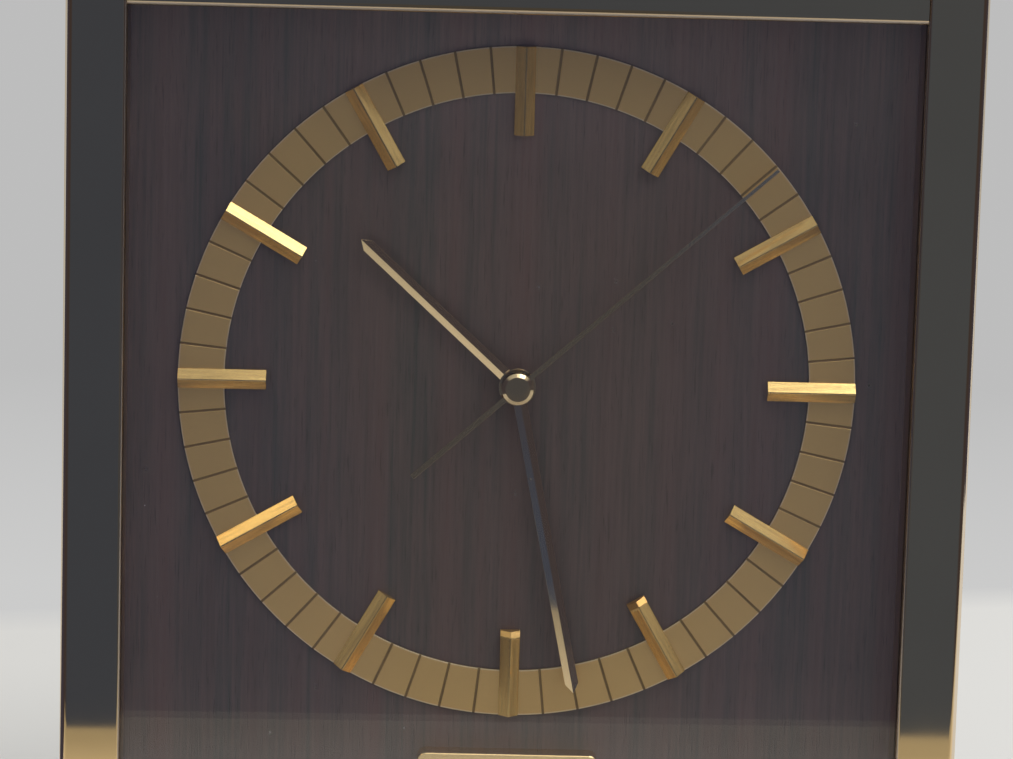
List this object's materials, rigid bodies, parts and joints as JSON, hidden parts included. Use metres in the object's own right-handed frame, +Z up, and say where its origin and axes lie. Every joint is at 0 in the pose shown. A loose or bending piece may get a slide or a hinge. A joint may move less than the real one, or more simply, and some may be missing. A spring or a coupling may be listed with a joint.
{
  "type": "desk clock with drum calendar",
  "caption": "Upright desk clock: metal frame, glass front, wooden dial panel, hour ring, centre hands, and number drums for the date that wheels in the back turn.",
  "frame": {"origin": "middle of the footprint on the resting plane, under the feet", "axes": "+X to the right of the dial, +Y from the dial to the back, +Z up; the dial faces -Y"},
  "size_m": [0.159, 0.052, 0.1745],
  "materials": {
    "frame": "polished",
    "frame_screw": "satin",
    "foot": "matte",
    "glass": "clear",
    "spacer": "satin",
    "panel": "satin",
    "ring": "satin",
    "marker": "polished",
    "hand": "polished",
    "bezel": "satin",
    "drum": "matte",
    "thumbwheel": "matte",
    "cradle": "matte",
    "steel": "brushed",
    "movement": "matte",
    "gear": "matte",
    "rotor": "satin",
    "coil": "satin",
    "board": "gloss",
    "cell": "satin",
    "contact": "satin",
    "knob": "matte",
    "case": "matte"
  },
  "bodies": {
    "clock_body": {"frame_post_left": "frame", "frame_post_right": "frame", "frame_rail_top": "frame", "frame_rail_bottom": "frame", "frame_screws": "frame_screw", "feet": "foot", "front_glass": "glass", "glass_spacer": "spacer", "dial_panel": "panel", "chapter_ring": "ring", "hour_markers": "marker", "calendar_bezel": "bezel", "calendar_lens": "glass", "drum_spindle": "steel", "thumbwheel_spindle": "steel", "calendar_cradle": "cradle", "cradle_screws": "steel", "movement_case": "movement", "movement_screws": "steel", "movement_lid": "movement", "motor_stator": "steel", "motor_coil": "coil", "train_bridge": "gear", "circuit_board": "board", "battery": "cell", "battery_contacts": "contact", "rear_case": "case", "case_screws": "steel"},
    "minute_group": {"cannon_pinion": "gear", "minute_hand": "hand"},
    "hour_group": {"hour_wheel": "gear", "hour_hand": "hand"},
    "minute_wheel_group": {"minute_wheel": "gear"},
    "setting_group": {"setting_knob": "knob"},
    "seconds_group": {"seconds_wheel": "gear", "second_hand": "hand", "hand_cap": "hand"},
    "third_group": {"third_wheel": "gear"},
    "centre_group": {"centre_wheel": "gear"},
    "rotor_group": {"motor_rotor": "rotor"},
    "month_group": {"month_drum": "drum"},
    "tens_group": {"tens_drum": "drum"},
    "units_group": {"units_drum": "drum"},
    "month_wheel_group": {"month_thumbwheel": "thumbwheel"},
    "tens_wheel_group": {"tens_thumbwheel": "thumbwheel"},
    "units_wheel_group": {"units_thumbwheel": "thumbwheel"},
    "door_group": {"battery_door": "case"}
  },
  "joints": [
    {"name": "minute_spin", "type": "hinge", "parent": "clock_body", "child": "minute_group", "pos_m": [0, -0.012, 0.098], "axis": [0, 1, 0], "continuous": true},
    {"name": "hour_spin", "type": "hinge", "parent": "clock_body", "child": "hour_group", "pos_m": [0, -0.012, 0.098], "axis": [0, 1, 0], "continuous": true},
    {"name": "minute_wheel_spin", "type": "hinge", "parent": "clock_body", "child": "minute_wheel_group", "pos_m": [-0.01, -0.006, 0.098], "axis": [0, 1, 0], "continuous": true},
    {"name": "setting_spin", "type": "hinge", "parent": "clock_body", "child": "setting_group", "pos_m": [-0.01525, 0.01, 0.10709], "axis": [0, 1, 0], "continuous": true},
    {"name": "second_spin", "type": "hinge", "parent": "clock_body", "child": "seconds_group", "pos_m": [0, -0.008, 0.098], "axis": [0, 1, 0], "continuous": true},
    {"name": "third_spin", "type": "hinge", "parent": "clock_body", "child": "third_group", "pos_m": [0.00962, -0.003, 0.098], "axis": [0, 1, 0], "continuous": true},
    {"name": "centre_spin", "type": "hinge", "parent": "clock_body", "child": "centre_group", "pos_m": [0, -0.0042, 0.098], "axis": [0, 1, 0], "continuous": true},
    {"name": "rotor_spin", "type": "hinge", "parent": "clock_body", "child": "rotor_group", "pos_m": [0, -0.002, 0.10724], "axis": [0, 1, 0], "continuous": true},
    {"name": "month_spin", "type": "hinge", "parent": "clock_body", "child": "month_group", "pos_m": [0, -0.0046, 0.02515], "axis": [1, 0, 0], "continuous": true},
    {"name": "tens_spin", "type": "hinge", "parent": "clock_body", "child": "tens_group", "pos_m": [0, -0.0046, 0.02515], "axis": [1, 0, 0], "continuous": true},
    {"name": "units_spin", "type": "hinge", "parent": "clock_body", "child": "units_group", "pos_m": [0, -0.0046, 0.02515], "axis": [1, 0, 0], "continuous": true},
    {"name": "month_wheel_spin", "type": "hinge", "parent": "clock_body", "child": "month_wheel_group", "pos_m": [0, 0.0154, 0.02515], "axis": [1, 0, 0], "continuous": true},
    {"name": "tens_wheel_spin", "type": "hinge", "parent": "clock_body", "child": "tens_wheel_group", "pos_m": [0, 0.0154, 0.02515], "axis": [1, 0, 0], "continuous": true},
    {"name": "units_wheel_spin", "type": "hinge", "parent": "clock_body", "child": "units_wheel_group", "pos_m": [0, 0.0154, 0.02515], "axis": [1, 0, 0], "continuous": true},
    {"name": "door_slide", "type": "slide", "parent": "clock_body", "child": "door_group", "axis": [0, 0, -1], "range_m": [0, 0.022]}
  ],
  "couplings": [
    {"joint": "hour_spin", "follows": "minute_spin", "ratio": 0.083333},
    {"joint": "minute_wheel_spin", "follows": "minute_spin", "ratio": -0.33333},
    {"joint": "setting_spin", "follows": "minute_spin", "ratio": 0.83333},
    {"joint": "rotor_spin", "follows": "second_spin", "ratio": -10},
    {"joint": "third_spin", "follows": "second_spin", "ratio": -0.1},
    {"joint": "centre_spin", "follows": "second_spin", "ratio": 0.016667},
    {"joint": "month_wheel_spin", "follows": "month_spin", "ratio": -1},
    {"joint": "tens_wheel_spin", "follows": "tens_spin", "ratio": -1},
    {"joint": "units_wheel_spin", "follows": "units_spin", "ratio": -1}
  ]
}
